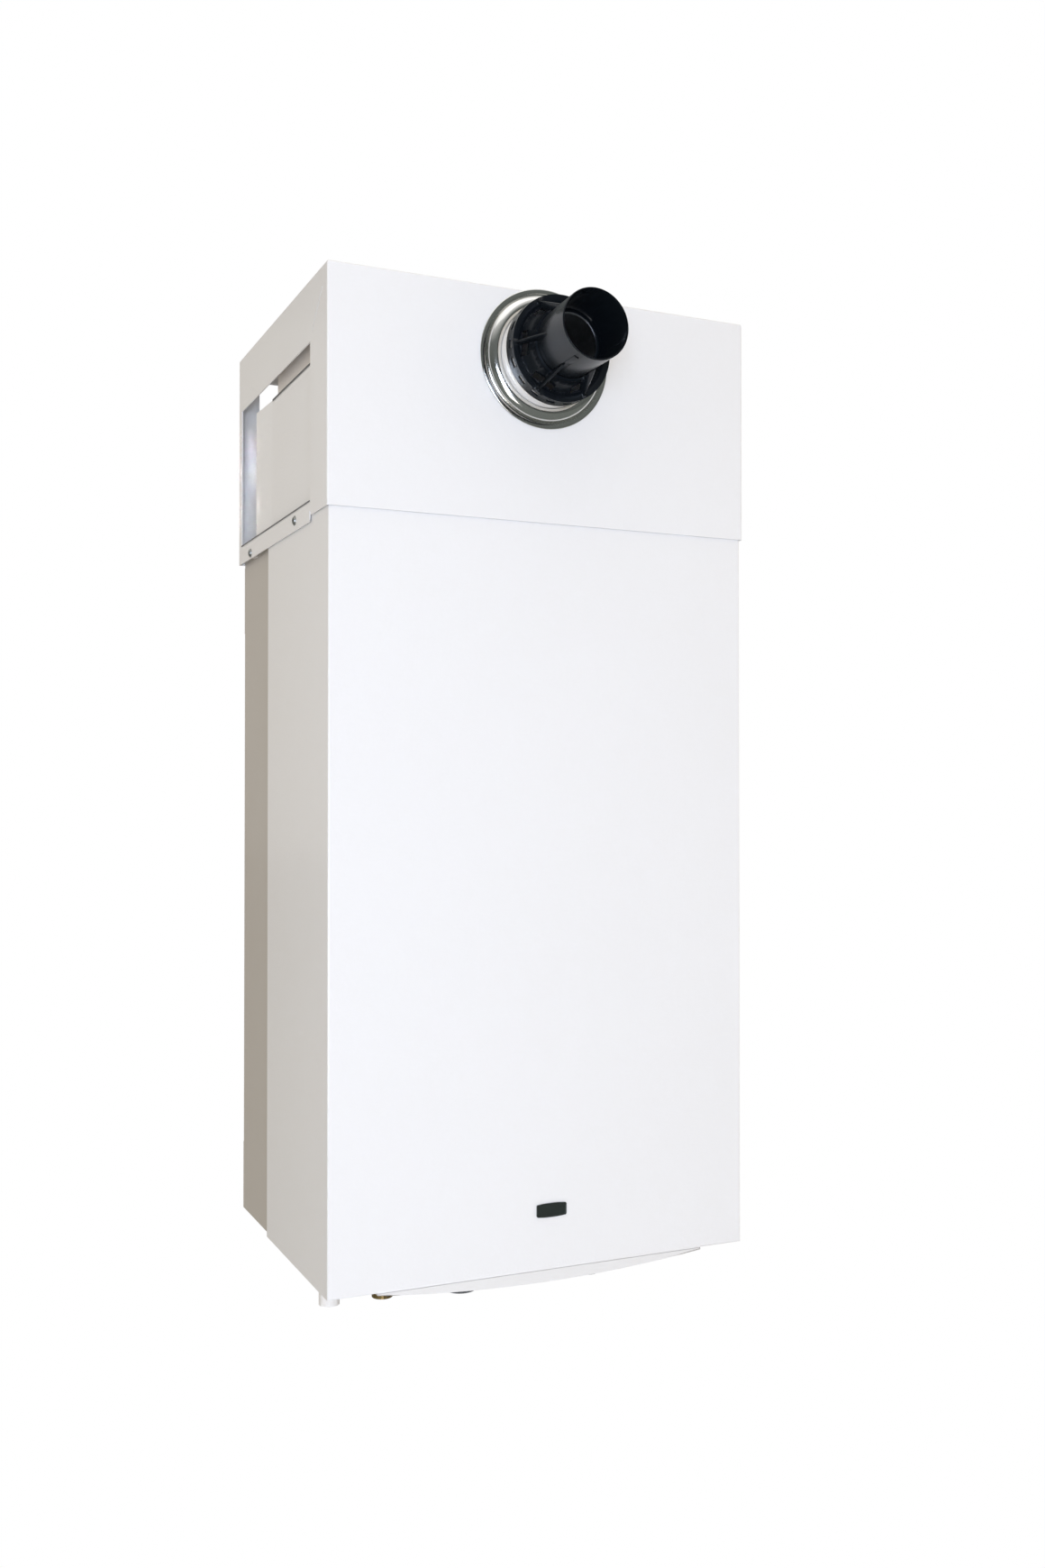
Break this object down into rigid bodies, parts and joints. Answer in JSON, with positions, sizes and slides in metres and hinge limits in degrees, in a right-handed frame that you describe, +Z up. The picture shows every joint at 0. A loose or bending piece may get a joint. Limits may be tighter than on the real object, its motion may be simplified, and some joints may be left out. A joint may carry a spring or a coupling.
{
  "type": "outdoor boiler",
  "caption": "Outdoor wall-hung boiler: a tall folded sheet case on a rear frame, a flue hood with a side service window, a stubby flue terminal and pipe tails below.",
  "frame": {"origin": "middle of the back's bottom edge, on the wall plane", "axes": "+X the viewer's right seen from the front, +Y into the wall, +Z up; the front faces -Y"},
  "size_m": [0.4592, 0.462, 1.032],
  "materials": {
    "case_white": "satin",
    "stay_cream": "satin",
    "frame_grey": "satin",
    "zinc_sheet": "satin",
    "duct_white": "satin",
    "ring_steel": "brushed",
    "inner_steel": "satin",
    "cast_alloy": "matte",
    "terminal_black": "satin",
    "badge_black": "gloss",
    "screw_zinc": "satin",
    "fascia_grey": "satin",
    "black_plastic": "matte",
    "knob_grey": "satin",
    "button_red": "satin",
    "motor_paint": "satin",
    "vessel_red": "gloss",
    "plate_steel": "satin",
    "cast_brass": "satin",
    "copper_tube": "satin",
    "hose_grey": "matte",
    "board_green": "satin",
    "lever_black": "satin",
    "lever_yellow": "satin",
    "gauge_black": "satin",
    "needle_red": "satin"
  },
  "bodies": {
    "boiler": {"badge_plate": "badge_black", "burner_door": "cast_alloy", "burner_tube": "inner_steel", "casing_screws": "screw_zinc", "cold_valve": "cast_brass", "condensate_hose": "hose_grey", "condensate_trap": "black_plastic", "control_board": "board_green", "control_fascia": "fascia_grey", "control_housing": "black_plastic", "exchanger_shell": "inner_steel", "expansion_vessel": "vessel_red", "fan_housing": "zinc_sheet", "fan_motor": "black_plastic", "flow_block": "cast_brass", "flow_pipe": "copper_tube", "flow_valve": "cast_brass", "flue_duct": "duct_white", "flue_elbow": "duct_white", "flue_hood": "case_white", "flue_trim_ring": "ring_steel", "flue_turret": "zinc_sheet", "frame_bottom_rail": "frame_grey", "frame_side_left": "frame_grey", "frame_side_right": "frame_grey", "frame_top_rail": "frame_grey", "gas_cock": "cast_brass", "gas_mixer": "cast_alloy", "gas_pipe": "copper_tube", "gas_valve": "cast_alloy", "hood_stay_left": "stay_cream", "hood_stay_right": "stay_cream", "hot_water_pipe": "copper_tube", "inner_flue": "inner_steel", "mounting_plate": "zinc_sheet", "outer_case": "case_white", "plate_exchanger": "plate_steel", "pressure_gauge": "gauge_black", "pump_body": "black_plastic", "pump_motor": "motor_paint", "relief_valve": "cast_brass", "return_pipe": "copper_tube", "return_valve": "cast_brass", "terminal_cage": "terminal_black", "terminal_nozzle": "terminal_black", "vessel_pipe": "copper_tube", "window_infill": "case_white"},
    "moving_fan_impeller": {"fan_impeller": "black_plastic"},
    "moving_pump_impeller": {"pump_impeller": "black_plastic"},
    "moving_heating_knob": {"heating_knob": "knob_grey"},
    "moving_water_knob": {"water_knob": "knob_grey"},
    "moving_reset_button": {"reset_button": "button_red"},
    "moving_gauge_needle": {"gauge_needle": "needle_red"},
    "moving_flow_lever": {"flow_lever": "lever_black"},
    "moving_gas_lever": {"gas_lever": "lever_yellow"},
    "moving_cold_lever": {"cold_lever": "lever_black"},
    "moving_return_lever": {"return_lever": "lever_black"},
    "moving_relief_cap": {"relief_cap": "button_red"}
  },
  "joints": [
    {"name": "fan_impeller_turn", "type": "hinge", "parent": "boiler", "child": "moving_fan_impeller", "pos_m": [0.15, -0.29, 0.64], "axis": [0, 1, 0], "continuous": true},
    {"name": "pump_impeller_turn", "type": "hinge", "parent": "boiler", "child": "moving_pump_impeller", "pos_m": [0.116, -0.2, 0.27], "axis": [0, 1, 0], "continuous": true},
    {"name": "heating_knob_turn", "type": "hinge", "parent": "boiler", "child": "moving_heating_knob", "pos_m": [-0.07, -0.288, -0.015], "axis": [0, 0, 1], "range_deg": [-135, 135]},
    {"name": "water_knob_turn", "type": "hinge", "parent": "boiler", "child": "moving_water_knob", "pos_m": [0.07, -0.288, -0.015], "axis": [0, 0, 1], "range_deg": [-135, 135]},
    {"name": "reset_button_press", "type": "slide", "parent": "boiler", "child": "moving_reset_button", "axis": [0, 0, 1], "range_m": [0, 0.002], "stiffness_N_per_m": 200},
    {"name": "gauge_needle_turn", "type": "hinge", "parent": "boiler", "child": "moving_gauge_needle", "pos_m": [0, -0.288, -0.008], "axis": [0, 0, 1], "range_deg": [0, 270]},
    {"name": "relief_cap_turn", "type": "hinge", "parent": "boiler", "child": "moving_relief_cap", "pos_m": [0.198, -0.182, 0.1], "axis": [1, 0, 0], "range_deg": [0, 90]},
    {"name": "flow_lever_turn", "type": "hinge", "parent": "boiler", "child": "moving_flow_lever", "pos_m": [-0.116, -0.202, -0.014], "axis": [0, 1, 0], "range_deg": [0, 90]},
    {"name": "gas_lever_turn", "type": "hinge", "parent": "boiler", "child": "moving_gas_lever", "pos_m": [0, -0.202, -0.014], "axis": [0, 1, 0], "range_deg": [0, 90]},
    {"name": "cold_lever_turn", "type": "hinge", "parent": "boiler", "child": "moving_cold_lever", "pos_m": [0.058, -0.202, -0.014], "axis": [0, 1, 0], "range_deg": [0, 90]},
    {"name": "return_lever_turn", "type": "hinge", "parent": "boiler", "child": "moving_return_lever", "pos_m": [0.116, -0.202, -0.014], "axis": [0, 1, 0], "range_deg": [0, 90]}
  ]
}
